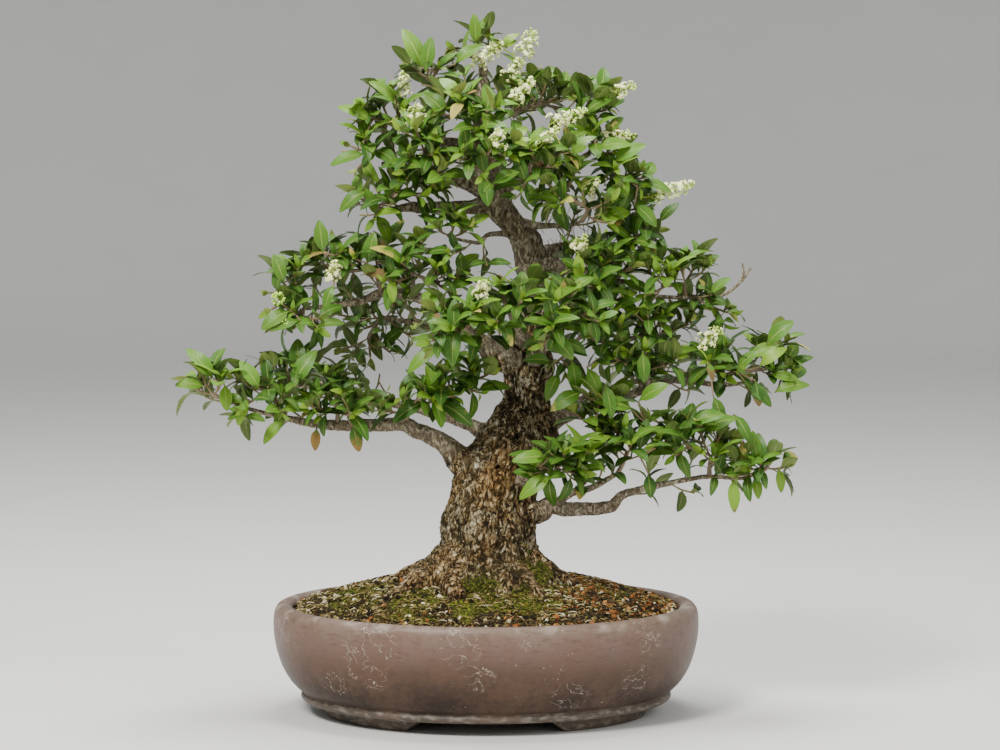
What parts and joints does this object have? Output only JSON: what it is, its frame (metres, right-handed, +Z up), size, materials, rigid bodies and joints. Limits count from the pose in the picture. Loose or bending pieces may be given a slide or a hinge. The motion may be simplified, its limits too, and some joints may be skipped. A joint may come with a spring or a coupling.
{
  "type": "potted bonsai tree",
  "caption": "Flowering privet bonsai with a thick flaky trunk, leafy sprays and cream flower panicles, in an oval brown clay pot on low feet.",
  "frame": {"origin": "middle of the bounding box at the height of the feet, close to the pot's centre", "axes": "+Z up through the trunk, +X towards the viewer's right, -Y towards the viewer of the tree's front"},
  "size_m": [0.637, 0.3302, 0.6992],
  "materials": {
    "clay": "unglazed, matt, with lime scale",
    "soil": "rough grit with moss",
    "screen": "matt mesh",
    "bark": "rough flaky bark",
    "leaf": "glossy above, matt below",
    "floret": "soft matt petals"
  },
  "bodies": {
    "root": {"pot": "clay", "soil": "soil", "drain_screen_left": "screen", "drain_screen_right": "screen", "trunk_and_branches": "bark", "spray_crown_top": "leaf", "spray_crown_top_left": "leaf", "spray_crown_left": "leaf", "spray_crown_left_low": "leaf", "spray_front_left_twig": "leaf", "spray_crown_left_face": "leaf", "spray_crown_front_high": "leaf", "spray_crown_front_low": "leaf", "spray_crown_front_right": "leaf", "spray_crown_right_top": "leaf", "spray_crown_right": "leaf", "spray_right_high_front": "leaf", "spray_crown_right_low": "leaf", "spray_crown_back_high": "leaf", "spray_crown_back_low": "leaf", "spray_middle_left_tip": "leaf", "spray_middle_left_top": "leaf", "spray_middle_left_front": "leaf", "spray_middle_left_back": "leaf", "spray_lower_left_tip": "leaf", "spray_lower_left_middle": "leaf", "spray_lower_left_inner": "leaf", "spray_lower_left_near": "leaf", "spray_lower_left_back": "leaf", "spray_front_left": "leaf", "spray_front_middle": "leaf", "spray_front_right": "leaf", "spray_right_middle": "leaf", "spray_right_middle_tip": "leaf", "spray_right_middle_back": "leaf", "spray_right_lower_tip": "leaf", "spray_right_lower_middle": "leaf", "spray_right_lower_back": "leaf", "spray_right_lowest_front": "leaf", "spray_right_lowest_middle": "leaf", "spray_right_lowest_outer": "leaf", "spray_right_lowest_tip": "leaf", "bloom_top_long": "floret", "bloom_top_upright": "floret", "bloom_top_low": "floret", "bloom_top_below": "floret", "bloom_left_slender": "floret", "bloom_left_round": "floret", "bloom_front_small": "floret", "bloom_front_right_small": "floret", "bloom_front_right_long": "floret", "bloom_right_high_long": "floret", "bloom_right_long": "floret", "bloom_right_small": "floret", "bloom_right_longest": "floret", "bloom_centre_small": "floret", "bloom_left_small": "floret", "bloom_centre_front": "floret", "bloom_right_lower": "floret", "bloom_back_top": "floret"}
  },
  "joints": []
}
